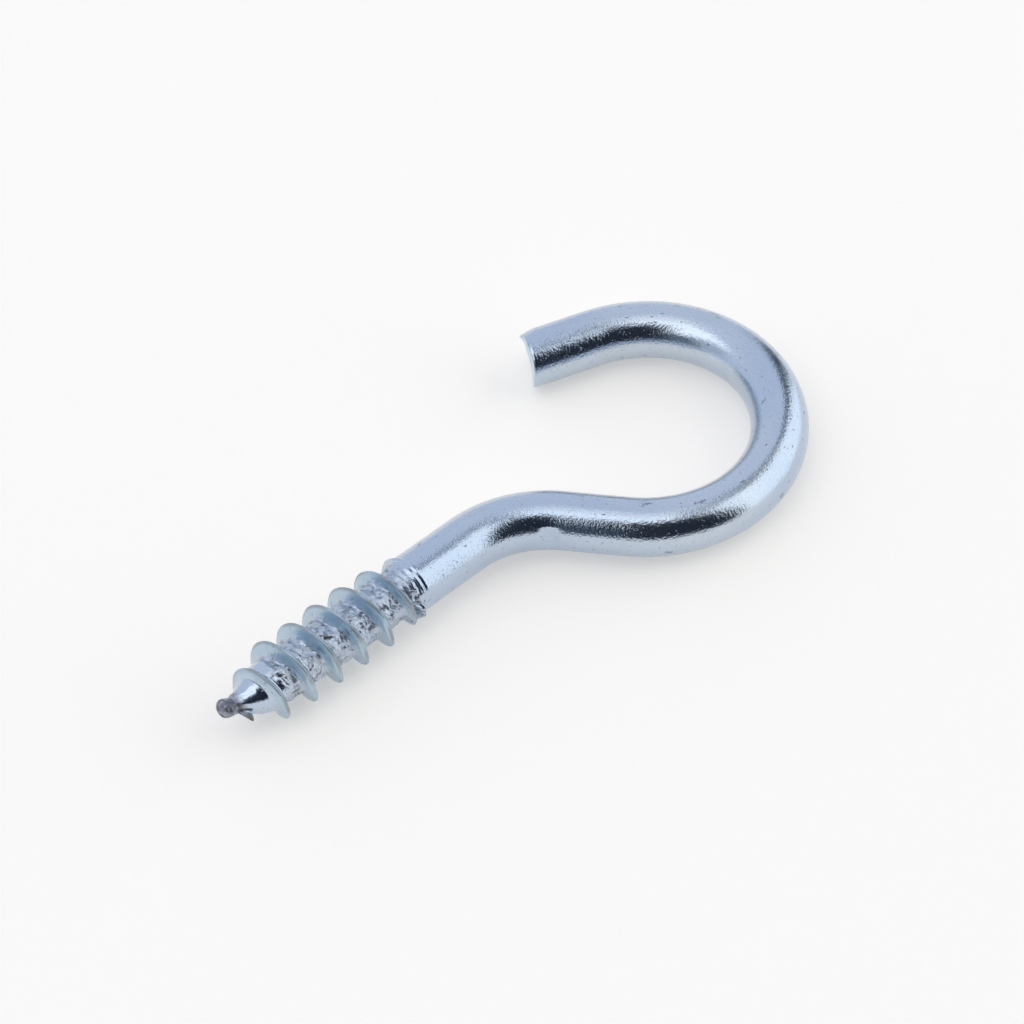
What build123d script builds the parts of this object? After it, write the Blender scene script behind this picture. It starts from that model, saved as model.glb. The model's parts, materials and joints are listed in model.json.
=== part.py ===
from build123d import *
import os
from math import asin, ceil, degrees, radians, tan

# A 50 mm screw hook: one length of steel wire, with a wood-screw thread rolled on one end and
# the other end bent into an open ring. It lies flat, as it comes to rest on a table.
#
# The wire is drawn first in its own frame, with the shank's axis on X, the neck bend starting
# at the origin and the ring in the XY plane. Then it is laid down: it rests on the last full
# turn of the thread and on the far side of the ring, so the shank's axis tips by about a degree.

# Driving dimensions, in millimetres and degrees.
wire_diameter = 4.2

shank_length = 5.0            # smooth wire between the thread and the neck bend
neck_radius = 8.2             # bend that offsets the ring, on the wire's axis
neck_turn = 50.1
neck_straight = 4.6           # straight wire between the neck bend and the ring

near_ring_radius = 9.92       # the ring is bent in three strokes, each with its own radius
near_ring_turn = 113.9
crown_radius = 8.94
crown_turn = 59.3
end_ring_radius = 9.65
end_ring_turn = 38.4
end_straight = 5.0            # straight wire at the sheared end
end_break = 0.15              # small chamfer where the shear has rounded the rim

thread_diameter = 5.5         # over the crests
core_diameter = 3.56          # at the thread's root
thread_pitch = 2.3            # right-handed
thread_length = 13.7          # straight core, from the bare point to the smooth shank
crest_width = 0.26
flank_angle = 24.0            # each flank, from the plane across the axis
run_out_length = 1.5          # the core grows to the wire's diameter over this length
fade_length = 4.0             # the crests sink to the wire's diameter over this length
lead_in_depth = 1.9           # the ridge starts this far down the bare point
lead_in_diameter = 3.3        # over the crest where the ridge starts
lead_in_length = 2.7          # the crests rise to the full thread over this length
lead_in_angle = 106.0         # where the ridge starts, turned about the axis from straight up
sections_per_turn = 8         # the ridge is drawn smoothly through this many sections a turn

point_length = 2.1            # bare cone between the core and the nub
nub_length = 1.3              # blunt nub that the dies leave at the very tip
nub_diameter = 1.3
nub_round = 0.4               # radius of the nub's rim

ridge_root_diameter = 0.4     # the ridge reaches in this far, so that it stands on the bare point
fuse_depth = 0.15             # the fading ridge ends this far inside the wire
flank_depth = 0.3             # the flanks run on this far below the core's surface

# Stations along the shank's axis, from the neck bend towards the tip.
wire_radius = wire_diameter / 2
crest_radius = thread_diameter / 2
core_radius = core_diameter / 2
nub_radius = nub_diameter / 2
lead_in_radius = lead_in_diameter / 2
ridge_root_radius = ridge_root_diameter / 2
shank_end = -shank_length
core_end = shank_end - thread_length
nub_top = core_end - point_length
tip = nub_top - nub_length
ridge_start = core_end - lead_in_depth
first_full_crest = ridge_start + lead_in_length
last_full_crest = shank_end - fade_length

# Outlines of the threaded end, as points of (station, radius) from the tip up.
core_outline = (
    (tip, nub_radius),
    (nub_top, nub_radius),
    (core_end, core_radius),
    (shank_end - run_out_length, core_radius),
    (shank_end, wire_radius),
)
crest_outline = (
    (ridge_start, lead_in_radius),
    (first_full_crest, crest_radius),
    (last_full_crest, crest_radius),
    (shank_end, wire_radius - fuse_depth),
)


def wire_axis():
    """The wire's centre line from the smooth shank to the sheared end."""
    shank = Line((shank_end, 0), (0, 0))
    neck = JernArc(shank @ 1, shank % 1, neck_radius, -neck_turn)
    neck_line = Line(neck @ 1, (neck @ 1) + (neck % 1) * neck_straight)
    near_side = JernArc(neck_line @ 1, neck_line % 1, near_ring_radius, near_ring_turn)
    crown = JernArc(near_side @ 1, near_side % 1, crown_radius, crown_turn)
    end_side = JernArc(crown @ 1, crown % 1, end_ring_radius, end_ring_turn)
    end_line = Line(end_side @ 1, (end_side @ 1) + (end_side % 1) * end_straight)
    return Wire([shank, neck, neck_line, near_side, crown, end_side, end_line])


def bent_wire(axis):
    """Round wire along the whole centre line, with the rim of its sheared end broken."""
    section = Plane.YZ.offset(shank_end) * Circle(wire_radius)
    wire = sweep(section, path=axis)
    end_rim = wire.edges().filter_by(GeomType.CIRCLE).sort_by_distance(axis @ 1)[0]
    return chamfer(end_rim, end_break)


def threaded_core():
    """The thread's core, with the run-out to the wire, the bare point and the blunt nub."""
    profile = make_face(Polyline((tip, 0), *core_outline, (shank_end, 0), close=True))
    core = revolve(Plane.XZ * profile, Axis.X)
    nub_rim = core.edges().filter_by(GeomType.CIRCLE).sort_by(Axis.X)[0]
    return fillet(nub_rim, nub_round)


def radius_at(outline, station):
    """An outline's radius at a station, in line between the points on each side of it."""
    for (start, start_radius), (stop, stop_radius) in zip(outline, outline[1:]):
        if station <= stop:
            share = (station - start) / (stop - start)
            return start_radius + (stop_radius - start_radius) * share
    return outline[-1][1]


def ridge_section(turn):
    """The ridge's section after a number of turns, from the root inside the core to the crest."""
    station = ridge_start + thread_pitch * turn
    crest = radius_at(crest_outline, station)
    foot = radius_at(core_outline, station) - flank_depth
    half_crest = crest_width / 2
    half_foot = half_crest + (crest - foot) * tan(radians(flank_angle))
    right_side = ((half_crest, crest), (half_foot, foot), (half_foot, ridge_root_radius))
    left_side = [(-across, radius) for across, radius in reversed(right_side)]
    upright = Plane((station, 0, 0), x_dir=(1, 0, 0), z_dir=(0, -1, 0))
    corners = [upright.from_local_coords(corner) for corner in (*right_side, *left_side)]
    section = Wire.make_polygon(corners, close=True)
    return section.rotate(Axis.X, lead_in_angle + 360 * turn)


def ridge_turns():
    """The right-handed ridge as one solid for each turn, end to end."""
    turns = (shank_end - ridge_start) / thread_pitch
    pieces = ceil(turns)
    step = turns / (pieces * sections_per_turn)
    solids = []
    for piece in range(pieces):
        first = piece * sections_per_turn
        sections = [ridge_section((first + k) * step) for k in range(sections_per_turn + 1)]
        solids.append(Solid.make_loft(sections))
    return solids


def laid_down(hook, axis):
    """Tips the hook until crest and ring both touch the table, then centres it on the origin."""
    far_side = axis.bounding_box().max.X
    tip_angle = degrees(asin((crest_radius - wire_radius) / (far_side - last_full_crest)))
    hook = Rot(0, tip_angle, 0) * hook
    box = hook.bounding_box()
    return Pos(-box.center().X, -box.center().Y, -box.min.Z) * hook


def screw_hook():
    axis = wire_axis()
    threaded_end = threaded_core() + ridge_turns()
    return laid_down(bent_wire(axis) + threaded_end, axis)


os.makedirs("parts", exist_ok=True)
export_step(screw_hook(), "parts/screw_hook.step")
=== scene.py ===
import json
import math
from functools import partial, reduce

import bpy
from mathutils import Matrix, Vector


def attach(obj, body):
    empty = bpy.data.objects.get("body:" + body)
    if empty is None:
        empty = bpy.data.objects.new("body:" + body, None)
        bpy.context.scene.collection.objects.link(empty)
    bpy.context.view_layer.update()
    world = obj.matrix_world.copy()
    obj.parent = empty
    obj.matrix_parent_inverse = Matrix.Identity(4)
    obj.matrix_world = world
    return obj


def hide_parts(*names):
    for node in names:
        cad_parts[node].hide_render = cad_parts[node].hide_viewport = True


# A zinc-plated screw hook lying on a pale studio table.
#
# The CAD solid gives the hook its place and its sizes. Here the same wire is skinned again by one
# Geometry Nodes tree, which adds what thread-rolling dies, bending pins and the shear leave on the
# steel. It works in millimetres, in the wire's own frame: the shank's axis is X, the neck bend
# starts at the origin and the ring lies in the XY plane. The finished skin is then laid down.

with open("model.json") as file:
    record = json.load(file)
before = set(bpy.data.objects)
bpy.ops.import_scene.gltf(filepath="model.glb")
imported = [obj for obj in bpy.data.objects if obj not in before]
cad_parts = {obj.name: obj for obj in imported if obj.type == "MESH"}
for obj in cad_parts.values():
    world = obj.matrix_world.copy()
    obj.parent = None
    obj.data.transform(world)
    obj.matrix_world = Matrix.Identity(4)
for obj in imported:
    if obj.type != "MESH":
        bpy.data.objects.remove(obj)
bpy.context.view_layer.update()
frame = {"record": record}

MM = 0.001
FULL_TURN = 2 * math.pi

# The wire, as in the CAD model.
WIRE_DIAMETER = 4.2
SHANK_LENGTH = 5.0
NECK_RADIUS = 8.2
NECK_TURN = 50.1
NECK_STRAIGHT = 4.6
RING_STROKES = ((9.92, 113.9), (8.94, 59.3), (9.65, 38.4))
END_STRAIGHT = 5.0

# The thread, as in the CAD model.
THREAD_DIAMETER = 5.5
CORE_DIAMETER = 3.56
THREAD_PITCH = 2.3
THREAD_LENGTH = 13.7
FLANK_ANGLE = 24.0
RUN_OUT_LENGTH = 1.5
FADE_LENGTH = 4.0
LEAD_IN_DEPTH = 1.9
LEAD_IN_DIAMETER = 3.3
LEAD_IN_LENGTH = 2.7
LEAD_IN_ANGLE = 106.0
POINT_LENGTH = 2.1
NUB_LENGTH = 1.3

# The flat on the crest is narrower than in the CAD model, because here its edges are rounded.
CREST_WIDTH = 0.12
CREST_ROUNDING = 0.09
ROOT_ROUNDING = 0.12

# Stations along the wire, from the start of the neck bend: negative towards the tip.
SHANK_END = -SHANK_LENGTH
CORE_END = SHANK_END - THREAD_LENGTH
NUB_TOP = CORE_END - POINT_LENGTH
TIP = NUB_TOP - NUB_LENGTH
RIDGE_START = CORE_END - LEAD_IN_DEPTH
FIRST_FULL_CREST = RIDGE_START + LEAD_IN_LENGTH
LAST_FULL_CREST = SHANK_END - FADE_LENGTH
RIDGE_START_ANGLE = math.radians(90 + LEAD_IN_ANGLE)

# How finely the skin is cut: columns round the wire, then rows along it. The rows are shorter
# over the last stretch, and the cap's rows cross the sheared face.
COLUMNS = 144
ROWS_PER_PITCH = 30
WIRE_ROW = 0.35
CUT_STRETCH = 2.4
CUT_ROWS = 40
CAP_ROWS = 16
ROUTE_STEP = 0.2

# What the tools leave on the steel. A side is an angle round the wire.
TORN_SIDE = math.radians(195)          # metal torn where the dies let go
RINGS_SIDE = math.radians(130)         # fine rings beside it
RING_SPACING = 0.42
RING_HEIGHT = 0.05
PRESS_STATION = 6.4                    # flat pressed into the inside of the neck
PRESS_SIDE = math.radians(172)
PRESS_DEPTH = 0.24
GRIP_SIDE = 1.2                        # marks of the jaws near the sheared end
GRIP_DEPTH = 0.06
CUT_HIGH_SIDE = math.radians(51.5)     # where the sheared face stands highest
LIP_SIDE = math.radians(141)           # where its rim is drawn out
HEEL_SIDE = math.radians(322)          # where the shear broke through
HEEL_HEIGHT = 0.5
RIM_BREAK = 0.09
FACE_HOLLOW = 0.12
NUB_LEAN = math.radians(32)            # the side that the nub is bent to
NUB_BEND = 0.36

# The sizes that the hook tree takes, by name.
HOOK_SIZES = {
    "Wire Diameter": WIRE_DIAMETER,
    "Core Diameter": CORE_DIAMETER,
    "Pitch": THREAD_PITCH,
    "Crest Width": CREST_WIDTH,
    "Flank Angle": math.radians(FLANK_ANGLE),
    "Pit Depth": 0.13,
    "Waviness": 0.014,
    "Cut Tilt": 0.48,
    "Lip": 0.3,
}

# Unevenness of the skin: grains a millimetre, detail, seed, roughness, stretch along the wire.
UNEVENNESS = {
    "pits": (1.05, 4.0, 3.1, 0.62, 1.0),
    "nub dents": (1.3, 3.0, 9.0, 0.5, 1.0),
    "torn metal": (1.6, 3.0, 6.1, 0.5, 1.0),
    "worn crests": (0.35, 2.0, 5.5, 0.5, 1.0),
    "drawn wire": (0.35, 2.0, 1.7, 0.5, 1.0),
    "drawing ripple": (1.1, 3.0, 2.7, 0.55, 2.2),
    "grip marks": (1.3, 3.0, 4.4, 0.6, 1.8),
    "cut grit": (1.9, 3.0, 7.7, 0.5, 1.0),
}

# Patterns in the plate: grain in millimetres, detail, stretch along the wire, seed, roughness.
# The real plate's peel and drawing lines are finer: they are drawn as coarse as they need to show.
PLATE_PATTERNS = {
    "cloud": (6.0, 3.0, 2.0, 2.0, 0.5),
    "specks": (0.5, 5.0, 1.0, 11.0, 0.68),
    "grain": (0.16, 2.0, 1.3, 15.0, 0.6),
    "worn crests": (1.5, 2.0, 1.0, 5.0, 0.5),
    "smut": (0.7, 4.0, 1.0, 71.0, 0.6),
    "nicks": (0.26, 2.0, 2.5, 21.0, 0.5),
    "speckle": (0.14, 1.0, 1.0, 25.0, 0.5),
    "scuffs": (1.1, 6.0, 1.8, 33.0, 0.72),
    "haze": (0.8, 3.0, 3.0, 31.0, 0.5),
    "peel": (0.17, 2.0, 1.0, 41.0, 0.6),
    "drawing lines": (0.09, 2.0, 14.0, 51.0, 0.5),
    "rolled core": (0.45, 4.0, 1.0, 61.0, 0.6),
}

# Plain words for the nodes that the trees use most, with their settings.
WORDS = {
    "plus": ("ShaderNodeMath", {"operation": "ADD"}),
    "less": ("ShaderNodeMath", {"operation": "SUBTRACT"}),
    "times": ("ShaderNodeMath", {"operation": "MULTIPLY"}),
    "over": ("ShaderNodeMath", {"operation": "DIVIDE"}),
    "lesser": ("ShaderNodeMath", {"operation": "MINIMUM"}),
    "greater": ("ShaderNodeMath", {"operation": "MAXIMUM"}),
    "rounded lesser": ("ShaderNodeMath", {"operation": "SMOOTH_MIN"}),
    "rounded greater": ("ShaderNodeMath", {"operation": "SMOOTH_MAX"}),
    "unsigned": ("ShaderNodeMath", {"operation": "ABSOLUTE"}),
    "whole": ("ShaderNodeMath", {"operation": "ROUND"}),
    "wrapped": ("ShaderNodeMath", {"operation": "WRAP"}),
    "root": ("ShaderNodeMath", {"operation": "SQRT"}),
    "cosine": ("ShaderNodeMath", {"operation": "COSINE"}),
    "sine": ("ShaderNodeMath", {"operation": "SINE"}),
    "tangent": ("ShaderNodeMath", {"operation": "TANGENT"}),
    "bearing": ("ShaderNodeMath", {"operation": "ARCTAN2"}),
    "slope": ("ShaderNodeMapRange", {"interpolation_type": "LINEAR"}),
    "ease": ("ShaderNodeMapRange", {"interpolation_type": "SMOOTHSTEP"}),
    "noise": ("ShaderNodeTexNoise", {}),
    "mix": ("ShaderNodeMix", {"data_type": "RGBA"}),
    "split": ("ShaderNodeSeparateXYZ", {}),
    "point": ("ShaderNodeCombineXYZ", {}),
    "shifted": ("ShaderNodeVectorMath", {"operation": "ADD"}),
    "scaled": ("ShaderNodeVectorMath", {"operation": "SCALE"}),
    "square to": ("ShaderNodeVectorMath", {"operation": "CROSS_PRODUCT"}),
    "scaled and shifted": ("ShaderNodeVectorMath", {"operation": "MULTIPLY_ADD"}),
    "attribute": ("ShaderNodeAttribute", {}),
    "keep": ("GeometryNodeStoreNamedAttribute", {"data_type": "FLOAT_VECTOR"}),
}


def wire_route():
    """Points of the wire's centre line from the tip, and the length of wire from the tip on."""
    x, y, heading = TIP, 0.0, 0.0
    runs = [(-TIP, 0.0), (NECK_RADIUS, -NECK_TURN), (NECK_STRAIGHT, 0.0)]
    runs += [*RING_STROKES, (END_STRAIGHT, 0.0)]
    points = [(x, y)]
    whole = 0.0
    for size, turn in runs:
        length = math.radians(abs(turn)) * size if turn else size
        steps = math.ceil(length / ROUTE_STEP)
        for _ in range(steps):
            heading += math.radians(turn) / steps / 2
            x += length / steps * math.cos(heading)
            y += length / steps * math.sin(heading)
            heading += math.radians(turn) / steps / 2
            points.append((x, y))
        whole += length
    return points, whole


ROUTE, WIRE_LENGTH = wire_route()
END = TIP + WIRE_LENGTH


def resting_place():
    """Moves the wire's own frame, in millimetres, to where the CAD hook lies, in metres."""
    thread = next(m for m in frame["record"]["mounts"] if m["name"] == "thread")
    along = -Vector(thread["axis"]).normalized()
    left = Vector((0, 0, 1)).cross(along).normalized()
    up = along.cross(left)
    turn = Matrix((along, left, up)).transposed().to_4x4()
    origin = Vector(thread["pos_m"]) + along * SHANK_LENGTH * MM
    return Matrix.Translation(origin) @ turn @ Matrix.Scale(MM, 4)


def add(tree, kind, inputs=(), out=0, **settings):
    """Adds a node with its settings and links. It gives one output, or all if out is None."""
    kind, usual = WORDS.get(kind, (kind, {}))
    node = tree.nodes.new(kind)
    for name, value in {**usual, **settings}.items():
        setattr(node, name, value)
    pairs = inputs.items() if isinstance(inputs, dict) else enumerate(inputs)
    for key, value in pairs:
        for each in value if isinstance(value, list) else [value]:
            if isinstance(each, bpy.types.NodeSocket):
                tree.links.new(each, node.inputs[key])
            else:
                node.inputs[key].default_value = each
    return node.outputs if out is None or not node.outputs else node.outputs[out]


def folded(tree, kind, *values):
    """Takes any number of values two at a time, from the left."""
    return reduce(lambda first, second: add(tree, kind, (first, second)), values)


def band(tree, value, low, high, fade):
    """1 between low and high, fading to 0 over the fade on each side."""
    rise = add(tree, "ease", (value, low - fade, low))
    fall = add(tree, "ease", (value, high, high + fade, 1.0, 0.0))
    return add(tree, "times", (rise, fall))


def outline(tree, value, points):
    """A height that runs in straight lines through the points."""
    height = points[0][1]
    for (low, start), (high, stop) in zip(points, points[1:]):
        rise = add(tree, "slope", (value, low, high, 0.0, stop - start))
        height = add(tree, "plus", (height, rise))
    return height


def round_hill(tree, angle, middle, width):
    """1 at one angle round the wire, 0 from the width away on."""
    off = add(tree, "wrapped", (add(tree, "less", (angle, middle)), math.pi, -math.pi))
    return add(tree, "ease", (add(tree, "unsigned", (off,)), 0.0, width, 1.0, 0.0))


def flat_skin(tree, rows, station_of, spread_of):
    """A grid whose points hold (station, angle, spread) instead of a place."""
    put = partial(add, tree)
    grid = put("GeometryNodeMeshGrid", {
        "Size X": float(rows), "Size Y": float(COLUMNS),
        "Vertices X": rows + 1, "Vertices Y": COLUMNS + 1,
    })
    x, y, _z = put("split", (put("GeometryNodeInputPosition"),), out=None)
    row = put("plus", (x, rows / 2))
    column = put("plus", (y, COLUMNS / 2))
    angle = put("times", (column, FULL_TURN / COLUMNS))
    skin = put("point", (station_of(row, column), angle, spread_of(row)))
    return put("keep", {"Geometry": grid, "Name": "skin", "Value": skin})


def threaded_skin(tree):
    """The threaded end's grid: its rows wind round with the pitch, so the crests stay crisp."""
    step = THREAD_PITCH / ROWS_PER_PITCH
    rows = math.ceil((SHANK_END - TIP + THREAD_PITCH) / step)

    def station(row, column):
        along = add(tree, "times", (row, step))
        round_wire = add(tree, "times", (column, THREAD_PITCH / COLUMNS))
        wound = folded(tree, "plus", along, round_wire, TIP - THREAD_PITCH)
        return add(tree, "lesser", (add(tree, "greater", (wound, TIP)), SHANK_END))

    return flat_skin(tree, rows, station, lambda row: 1.0)


def smooth_skin(tree):
    """The smooth wire's grid, with the rows that close it across the sheared face."""
    near_end = END - CUT_STRETCH
    wire_rows = math.ceil((near_end - SHANK_END) / WIRE_ROW)
    end_rows = wire_rows + CUT_ROWS
    all_rows = end_rows + CAP_ROWS
    stations = ((0, SHANK_END), (wire_rows, near_end), (end_rows, END))
    return flat_skin(tree, all_rows,
                     lambda row, column: outline(tree, row, stations),
                     lambda row: add(tree, "slope", (row, end_rows, all_rows, 1.0, 0.0)))


def hook_tree():
    """The tree that skins the wire's centre line: thread, bends and sheared end in one piece."""
    tree = bpy.data.node_groups.new("Screw hook skin", "GeometryNodeTree")
    face = tree.interface
    face.new_socket("Wire", in_out="INPUT", socket_type="NodeSocketGeometry")
    for name, value in HOOK_SIZES.items():
        socket = face.new_socket(name, in_out="INPUT", socket_type="NodeSocketFloat")
        socket.default_value = value
    face.new_socket("Plate", in_out="INPUT", socket_type="NodeSocketMaterial")
    face.new_socket("Hook", in_out="OUTPUT", socket_type="NodeSocketGeometry")
    put = partial(add, tree)
    fold = partial(folded, tree)
    between = partial(band, tree)
    hill = partial(round_hill, tree)
    given = put("NodeGroupInput", out=None)

    grids = put("GeometryNodeJoinGeometry", {0: [threaded_skin(tree), smooth_skin(tree)]})
    skin = put("GeometryNodeInputNamedAttribute", {"Name": "skin"}, data_type="FLOAT_VECTOR")
    station, angle, spread = put("split", (skin,), out=None)
    cosine = put("cosine", (angle,))
    sine = put("sine", (angle,))
    wire_radius = put("times", (given["Wire Diameter"], 0.5))
    core_radius = put("times", (given["Core Diameter"], 0.5))

    # Core: nub, bare point, straight core and the run-out to the wire.
    core_share = outline(tree, station, (
        (TIP, 0.0), (TIP + 0.04, 0.18), (TIP + 0.14, 0.31), (TIP + 0.34, 0.40), (TIP + 0.7, 0.43),
        (NUB_TOP - 0.1, 0.36), (NUB_TOP + 0.35, 0.47), (NUB_TOP + 1.25, 0.78),
        (CORE_END, 0.945), (CORE_END + 0.8, 1.0),
    ))
    run_out = put("ease", (station, SHANK_END - RUN_OUT_LENGTH - 0.2, SHANK_END - 0.5))
    core = put("plus", (put("times", (core_share, core_radius)),
                        put("times", (run_out, put("less", (wire_radius, core_radius))))))
    girth = put("times", (core, spread))
    even_skin = put("point", (station, put("times", (cosine, girth)), put("times", (sine, girth))))

    rough = {}
    for name, (scale, detail, seed, roughness, stretch) in UNEVENNESS.items():
        where = put("scaled and shifted", (even_skin, (1 / stretch, 1, 1), (seed,) * 3))
        rough[name] = put("noise", {"Vector": where, "Scale": scale, "Detail": detail,
                                    "Roughness": roughness})

    # The rolled core is pitted, the nub dented, and the metal torn where the dies let go.
    rolled = between(station, CORE_END + 1.2, SHANK_END - 1.3, 0.7)
    pitting = put("ease", (rough["pits"], 0.36, 0.60, -1.0, 0.3))
    nub_dents = put("times", (put("less", (rough["nub dents"], 0.62)),
                              put("ease", (station, NUB_TOP, NUB_TOP + 0.6, 0.4, 0.0))))
    torn = put("times", (between(station, SHANK_END - 2.0, SHANK_END - 1.0, 0.4),
                         hill(angle, TORN_SIDE, 0.9)))
    torn_depth = put("times", (torn, put("ease", (rough["torn metal"], 0.40, 0.60, 0.45, -0.25))))
    pits = fold("times", pitting, rolled, given["Pit Depth"])
    core = fold("plus", core, pits, nub_dents, torn_depth)

    # Ridge: which turn is nearest, how far off its crest is, and how high it stands there.
    turns = put("over", (put("less", (station, RIDGE_START)), given["Pitch"]))
    part = put("times", (put("less", (angle, RIDGE_START_ANGLE)), 1 / FULL_TURN))
    turn = put("plus", (part, put("whole", (put("less", (turns, part)),))))
    crest_station = put("plus", (put("times", (turn, given["Pitch"])), RIDGE_START))
    crest = outline(tree, crest_station, (
        (RIDGE_START - 0.12, 0.1), (RIDGE_START, LEAD_IN_DIAMETER / 2),
        (RIDGE_START + 0.22, 1.2), (RIDGE_START + 0.8, 1.8),
        (FIRST_FULL_CREST, THREAD_DIAMETER / 2), (LAST_FULL_CREST, THREAD_DIAMETER / 2),
        (SHANK_END - 0.6, WIRE_DIAMETER / 2 + 0.22), (SHANK_END + 0.35, WIRE_DIAMETER / 2 - 0.4),
    ))
    worn = put("times", (put("ease", (rough["worn crests"], 0.45, 0.75)), 0.06))
    crest = put("less", (crest, worn))
    off = put("unsigned", (put("less", (station, crest_station)),))
    past_flat = put("less", (off, put("times", (given["Crest Width"], 0.5))))
    beyond = put("rounded greater", (past_flat, 0.0, CREST_ROUNDING))
    drop = put("over", (beyond, put("tangent", (given["Flank Angle"],))))
    radius = put("rounded greater", (core, put("less", (crest, drop)), ROOT_ROUNDING))
    crest_edge = put("times", (put("ease", (beyond, 0.02, 0.10, 1.0, 0.0)),
                               put("ease", (put("less", (radius, core)), 0.2, 0.5))))

    # Fine rings where the dies let go of the wire.
    ring_phase = put("plus", (put("times", (station, FULL_TURN / RING_SPACING)),
                              put("times", (angle, -1.0))))
    rings = put("times", (between(station, SHANK_END - 1.7, SHANK_END - 0.25, 0.2),
                          hill(angle, RINGS_SIDE, 2.4)))
    radius = put("plus", (radius, fold("times", rings, put("sine", (ring_phase,)), RING_HEIGHT)))

    # Drawn wire is never quite even, and the jaws have marked it near the sheared end.
    ripple = put("times", (rough["drawing ripple"], 0.5))
    wavy = put("plus", (rough["drawn wire"], ripple))
    wavy = fold("times", wavy, given["Waviness"], -1.6)
    on_wire = put("ease", (station, SHANK_END - 0.5, SHANK_END + 1.0))
    gripped = put("times", (put("ease", (station, END - 8.0, END - 4.0)),
                            hill(angle, GRIP_SIDE, 1.3)))
    wavy = put("less", (wavy, fold("times", gripped, rough["grip marks"], GRIP_DEPTH)))
    radius = put("plus", (radius, put("times", (wavy, on_wire))))

    # The bending pin has pressed a small flat into the inside of the neck.
    from_press = put("unsigned", (put("less", (station, PRESS_STATION)),))
    along_flat = put("ease", (from_press, 0.6, 1.1, 0.0, 0.6))
    flat_angle = put("less", (angle, PRESS_SIDE))
    facing_share = put("greater", (put("cosine", (flat_angle,)), 0.3))
    flat_top = put("over", (put("less", (wire_radius, PRESS_DEPTH)), facing_share))
    pressed = put("rounded lesser", (radius, put("plus", (flat_top, along_flat)), 0.03))
    facing = put("ease", (put("unsigned", (flat_angle,)), 1.0, 1.2, 1.0, 0.0))
    radius = put("plus", (radius, put("times", (facing, put("less", (pressed, radius))))))

    # Sheared end: the cut is tilted, its rim is broken and one corner is drawn out in a lip.
    to_end = put("ease", (station, END - 1.4, END))
    rim = put("ease", (station, END - 0.16, END))
    lip = hill(angle, LIP_SIDE, 0.75)
    wide_lip = hill(angle, LIP_SIDE, 1.25)
    radius = put("less", (radius, put("times", (rim, RIM_BREAK))))
    radius = put("less", (radius, fold("times", to_end, to_end, wide_lip, 0.2)))
    high = put("cosine", (put("less", (angle, CUT_HIGH_SIDE)),))
    drawn = put("plus", (put("times", (high, given["Cut Tilt"])),
                         fold("times", lip, given["Lip"], spread, spread)))
    heel = hill(angle, HEEL_SIDE, 1.7)
    drawn = put("plus", (drawn, put("times", (heel, HEEL_HEIGHT))))
    hollow = put("times", (put("ease", (spread, 0.0, 0.95, 1.0, 0.0)), -FACE_HOLLOW))
    grit = put("times", (put("less", (rough["cut grit"], 0.5)),
                         put("ease", (spread, 0.85, 1.0, 0.12, 0.0))))
    push = fold("plus", fold("times", drawn, to_end, spread), hollow, grit)
    closed_tip = put("slope", (station, TIP, TIP + 0.02))
    radius = fold("times", radius, spread, closed_tip)

    # Round the centre line.
    share = put("times", (put("less", (station, TIP)), 1 / WIRE_LENGTH))
    line = put("GeometryNodeSampleCurve", {"Curves": given["Wire"], "Factor": share}, out=None,
               mode="FACTOR", use_all_curves=True)
    heading = line["Tangent"]
    side = put("square to", ((0, 0, 1), heading))
    nub_bend = put("times", (put("ease", (station, TIP + 0.5, NUB_TOP + 1.1, 1.0, 0.0)), NUB_BEND))
    place = line["Position"]
    for way, amount in (
        (heading, push),
        (side, put("times", (radius, cosine))),
        ((0, 0, 1), put("times", (radius, sine))),
        ((0, math.cos(NUB_LEAN), math.sin(NUB_LEAN)), nub_bend),
    ):
        place = put("shifted", (place, put("scaled", {"Vector": way, "Scale": amount})))
    shape = put("GeometryNodeSetPosition", {"Geometry": grids, "Position": place})

    # What the finish reads: the point on the wire as if it were straight, and what worked it.
    unbent = put("point", (put("plus", (station, push)),
                           put("times", (radius, cosine)), put("times", (radius, sine))))
    cut = put("ease", (spread, 0.97, 1.0, 1.0, 0.0))
    above_core = put("less", (radius, core))
    on_core = put("times", (rolled, put("ease", (above_core, 0.05, 0.4, 1.0, 0.0))))
    worked = put("point", (on_core, crest_edge, cut))
    flank_share = put("ease", (above_core, 0.05, 0.4))
    shape = put("keep", {"Geometry": shape, "Name": "unbent", "Value": unbent})
    shape = put("keep", {"Geometry": shape, "Name": "worked", "Value": worked})
    shape = put("keep", {"Geometry": shape, "Name": "flank", "Value": flank_share},
                data_type="FLOAT")
    shape = put("GeometryNodeRemoveAttribute", {"Geometry": shape, "Name": "skin"})
    shape = put("GeometryNodeMergeByDistance", {"Geometry": shape, "Distance": 0.001})
    shape = put("GeometryNodeFlipFaces", {"Mesh": shape})
    shape = put("GeometryNodeSetShadeSmooth", {"Geometry": shape})
    shape = put("GeometryNodeRealizeInstances", {"Geometry": shape})
    shape = put("GeometryNodeSetMaterial", {"Geometry": shape, "Material": given["Plate"]})
    put("NodeGroupOutput", (shape,))
    return tree


def hex_colour(text, strength=1.0):
    """An sRGB hex colour as the linear numbers that shaders take, or as light of a strength."""
    parts = [int(text[i:i + 2], 16) / 255 for i in (1, 3, 5)]
    linear = [c / 12.92 if c <= 0.04045 else ((c + 0.055) / 1.055) ** 2.4 for c in parts]
    return (*(c * strength for c in linear), 1.0)


def new_material(name):
    material = bpy.data.materials.new(name)
    material.use_nodes = True
    material.node_tree.nodes.clear()
    return material, material.node_tree


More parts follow.
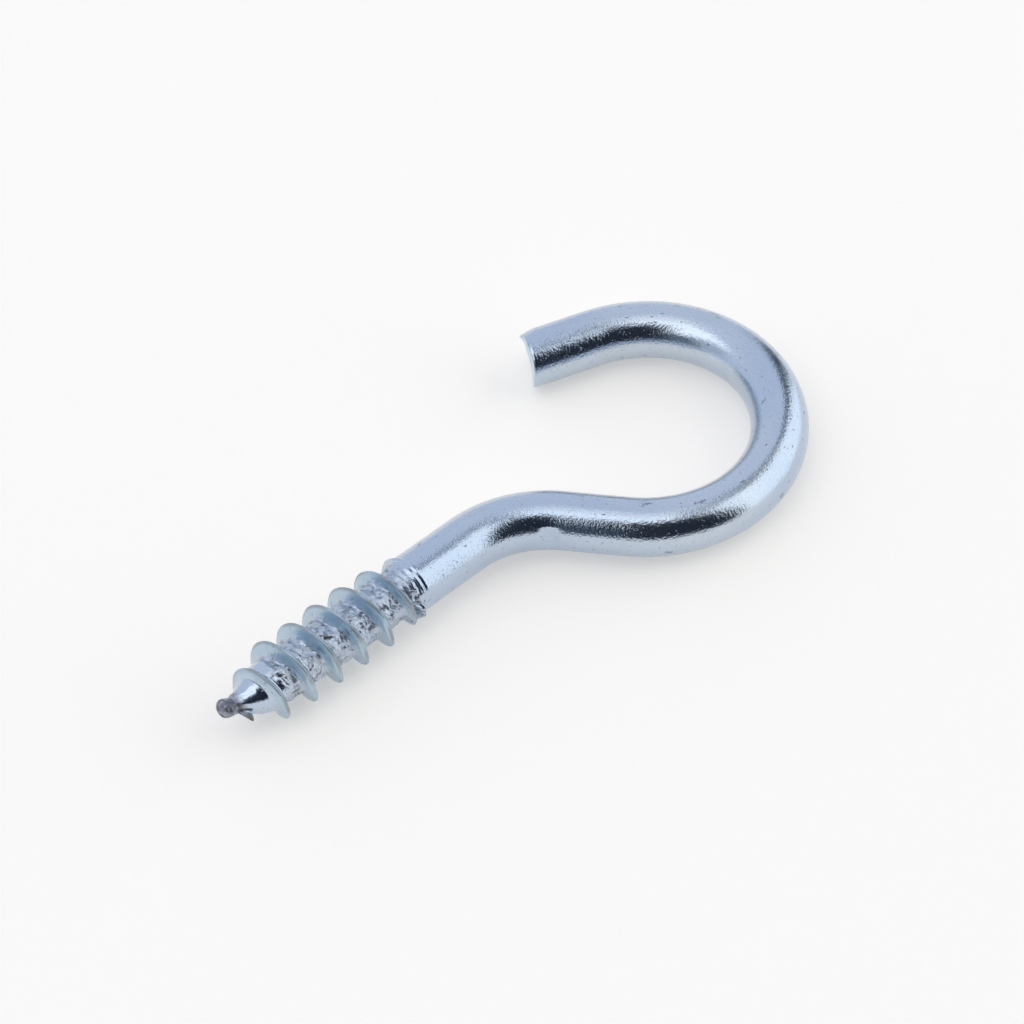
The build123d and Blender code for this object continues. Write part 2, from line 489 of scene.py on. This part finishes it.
def bright_zinc_plate():
    """Cold-drawn steel wire, electroplated with bright zinc and clear passivated.

    It gives the eye a bluish, nearly mirror-like metal with a fine orange-peel grain, matte and
    speckled where the dies have rolled the core, and brown-grey where the crests show the steel.
    """
    material, tree = new_material("bright_zinc_plate_on_steel_wire")
    put = partial(add, tree)
    fold = partial(folded, tree)
    unbent = put("attribute", out=1, attribute_name="unbent")
    worked = put("attribute", out=1, attribute_name="worked")
    flank = put("attribute", out=2, attribute_name="flank")
    core, crest, cut = put("split", (worked,), out=None)
    station = put("split", (unbent,))

    pattern = {}
    for name, (size, detail, stretch, seed, roughness) in PLATE_PATTERNS.items():
        where = put("ShaderNodeMapping", {
            "Vector": unbent, "Location": (seed, seed, seed),
            "Scale": (1 / (size * stretch), 1 / size, 1 / size),
        })
        pattern[name] = put("noise", {"Vector": where, "Scale": 1.0, "Detail": detail,
                                      "Roughness": roughness})

    on_nub = put("ease", (station, NUB_TOP - 0.1, NUB_TOP + 0.5, 1.0, 0.0))
    near_start = put("ease", (station, RIDGE_START + 0.5, RIDGE_START + 1.1, 1.0, 0.0))
    clouds = put("ease", (pattern["cloud"], 0.35, 0.65))
    grain = put("ease", (pattern["grain"], 0.42, 0.66, 0.0, 0.10))
    specks = fold("times", core, put("ease", (pattern["specks"], 0.52, 0.64)), 0.7)
    worn = fold("times", crest, put("ease", (pattern["worn crests"], 0.35, 0.6)), 0.55)
    smut = fold("times", on_nub, put("ease", (pattern["smut"], 0.35, 0.62)), 0.8)
    nicks = put("greater", (put("ease", (pattern["nicks"], 0.70, 0.74)),
                            put("ease", (pattern["speckle"], 0.72, 0.78))))
    scuffs = put("ease", (pattern["scuffs"], 0.625, 0.68))

    # Zinc first, then what lies over it, each layer with its share.
    colour = hex_colour("#BAC8DA")
    for share, layer in (
        (clouds, "#C4CFDB"),
        (put("times", (core, 0.3)), "#BDC3CC"),
        (grain, "#8F9BAC"),
        (put("times", (flank, 0.8)), "#B3C8D6"),
        (specks, "#565A64"),
        (worn, "#8C867E"),
        (put("times", (on_nub, 0.5)), "#A9A8AE"),
        (smut, "#55505C"),
        (put("times", (crest, near_start)), "#8D8177"),
        (put("times", (cut, 0.6)), "#D6EBF0"),
        (put("times", (scuffs, 0.7)), "#6A7686"),
        (put("times", (nicks, 0.6)), "#50555C"),
    ):
        colour = put("mix", {0: share, 6: colour, 7: hex_colour(layer)}, out=2)

    haze = put("ease", (pattern["haze"], 0.4, 0.7))
    rough = put("plus", (0.12, put("times", (haze, 0.06))))
    for mark, more in ((flank, 0.17), (core, 0.16), (crest, 0.15), (on_nub, 0.25), (cut, 0.2)):
        rough = put("plus", (rough, put("times", (mark, more))))

    # Relief in millimetres.
    on_wire = put("ease", (station, SHANK_END - 1.5, SHANK_END, 0.25, 1.0))
    height = fold("plus",
                  fold("times", on_wire, pattern["peel"], 0.021),
                  put("times", (pattern["drawing lines"], 0.004)),
                  put("times", (nicks, -0.012)),
                  put("times", (scuffs, -0.004)),
                  fold("times", core, pattern["rolled core"], 0.08))
    bump = put("ShaderNodeBump", {"Strength": 1.0, "Distance": MM, "Height": height})
    plate = put("ShaderNodeBsdfPrincipled", {
        "Base Color": colour, "Metallic": 1.0, "Roughness": rough, "Normal": bump,
    })
    put("ShaderNodeOutputMaterial", {"Surface": plate})
    return material


def build_hook():
    """The hook as one plain mesh, laid where the CAD hook lies."""
    line = bpy.data.curves.new("wire_route", "CURVE")
    line.dimensions = "3D"
    spline = line.splines.new("POLY")
    spline.points.add(len(ROUTE) - 1)
    for point, (x, y) in zip(spline.points, ROUTE):
        point.co = (x, y, 0.0, 1.0)
    carrier = bpy.data.objects.new("wire_route", line)
    bpy.context.scene.collection.objects.link(carrier)
    skinning = carrier.modifiers.new("Skin", "NODES")
    tree = hook_tree()
    skinning.node_group = tree
    plate = bright_zinc_plate()
    values = {**HOOK_SIZES, "Plate": plate}
    for item in tree.interface.items_tree:
        if item.in_out == "INPUT" and item.name in values:
            skinning[item.identifier] = values[item.name]
    graph = bpy.context.evaluated_depsgraph_get()
    mesh = bpy.data.meshes.new_from_object(carrier.evaluated_get(graph), depsgraph=graph)
    mesh.transform(resting_place())
    mesh.materials.clear()
    mesh.materials.append(plate)
    mesh.polygons.foreach_set("material_index", [0] * len(mesh.polygons))
    carrier.modifiers.remove(skinning)
    bpy.data.objects.remove(carrier)
    hook = bpy.data.objects.new("wire_hook", mesh)
    bpy.context.scene.collection.objects.link(hook)
    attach(hook, "root")
    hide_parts("screw_hook")


def table_top():
    """A sheet of matt white card, as pale from every side, which keeps the hook's shadow."""
    bpy.ops.mesh.primitive_circle_add(vertices=96, radius=3.0, fill_type="NGON")
    table = bpy.context.object
    table.name = "table_top"
    material, tree = new_material("matt_white_card")
    put = partial(add, tree)
    path = put("ShaderNodeLightPath", out=None)
    mirrored = put("greater", (path["Is Glossy Ray"], path["Is Transmission Ray"]))
    seen = put("greater", (path["Is Camera Ray"], mirrored))
    card = put("ShaderNodeBsdfDiffuse", {"Color": hex_colour("#E6E0D8")})
    lift = put("ShaderNodeEmission", {"Strength": put("times", (seen, 0.36))})
    both = put("ShaderNodeAddShader", (card, lift))
    put("ShaderNodeOutputMaterial", {"Surface": both})
    table.data.materials.append(material)


# The light tent's panels: middle azimuth and elevation, half width and height, soft edge, all in
# degrees, then colour and strength. Later ones cover earlier ones.
PANELS = (
    ("ceiling", 0, 90, 400, 9, 12, "#F2F4FA", 1.2),
    ("key panel", -30, 24, 38, 34, 10, "#F8FCFF", 1.38),
    ("side panel", -177, 60, 36, 18, 8, "#F6F8FC", 1.6),
    ("slot over the opening", -112, 73, 46, 6, 5, "#F4F7FC", 1.55),
    ("camera opening", -111, 34, 36, 29, 8, "#2E3440", 0.9),
    ("opening's frame", -164, 15, 16, 16, 8, "#66717C", 1.1),
    ("back post", 168, 22, 10, 14, 10, "#B6BECA", 1.2),
    ("tent seam", 18, 20, 5, 28, 4, "#4E5762", 1.1),
    ("seam's bend", 0, 57, 16, 3, 4, "#59616B", 1.1),
    ("ceiling seam", -42, 70, 32, 2, 4, "#7C8490", 1.1),
)
TENT_CLOTH = "#C8CEDC"
TENT_STRENGTH = 1.28


def light_tent():
    """A cloth tent with lit panels, seams and a dark opening, which the camera doesn't see."""
    bpy.ops.mesh.primitive_uv_sphere_add(segments=64, ring_count=32, radius=3.2)
    tent = bpy.context.object
    tent.name = "light_tent"
    material, tree = new_material("lit_tent_cloth")
    put = partial(add, tree)
    fold = partial(folded, tree)
    x, y, z = put("split", (put("ShaderNodeTexCoord", out=3),), out=None)
    azimuth = put("bearing", (y, x))
    level = put("root", (put("plus", (put("times", (x, x)), put("times", (y, y)))),))
    elevation = put("bearing", (z, level))
    light = hex_colour(TENT_CLOTH, TENT_STRENGTH)
    for _name, *angles, colour, strength in PANELS:
        middle, height, half_width, half_height, edge = map(math.radians, angles)
        across = put("wrapped", (put("less", (azimuth, middle)), math.pi, -math.pi))
        upward = put("less", (elevation, height))
        share = fold("times", band(tree, across, -half_width, half_width, edge),
                     band(tree, upward, -half_height, half_height, edge))
        panel = hex_colour(colour, strength)
        light = put("mix", {0: share, 6: light, 7: panel}, out=2)
    glow = put("ShaderNodeEmission", {"Color": light, "Strength": 1.0})
    put("ShaderNodeOutputMaterial", {"Surface": glow})
    tent.data.materials.append(material)
    tent.visible_camera = False


def room():
    """White beyond the table."""
    world = bpy.data.worlds.new("room")
    bpy.context.scene.world = world
    world.use_nodes = True
    world.node_tree.nodes.clear()
    put = partial(add, world.node_tree)
    glow = put("ShaderNodeBackground", {"Color": (1, 1, 1, 1), "Strength": 1.0})
    put("ShaderNodeOutputWorld", {"Surface": glow})


# The camera's place and aim in the wire's own frame, and its focal length, all in millimetres.
CAMERA_PLACE = (-105.2, -116.3, 182.6)
CAMERA_AIM = (4.33, 0.0, 0.0)
FOCAL_LENGTH = 122.2


def studio_camera():
    """Looks down on the hook from the thread's side."""
    place = resting_place()
    eye = place @ Vector(CAMERA_PLACE)
    aim = place @ Vector(CAMERA_AIM)
    up = place.to_3x3() @ Vector((0, 0, 1))
    back = (eye - aim).normalized()
    right = up.cross(back).normalized()
    level = back.cross(right)
    data = bpy.data.cameras.new("camera")
    data.lens = FOCAL_LENGTH
    data.sensor_width = 36.0
    data.clip_start = 0.01
    camera = bpy.data.objects.new("camera", data)
    turn = Matrix((right, level, back)).transposed().to_4x4()
    camera.matrix_world = Matrix.Translation(eye) @ turn
    bpy.context.scene.collection.objects.link(camera)
    bpy.context.scene.camera = camera


build_hook()
table_top()
light_tent()
room()
studio_camera()
bpy.context.scene.view_settings.view_transform = "Standard"
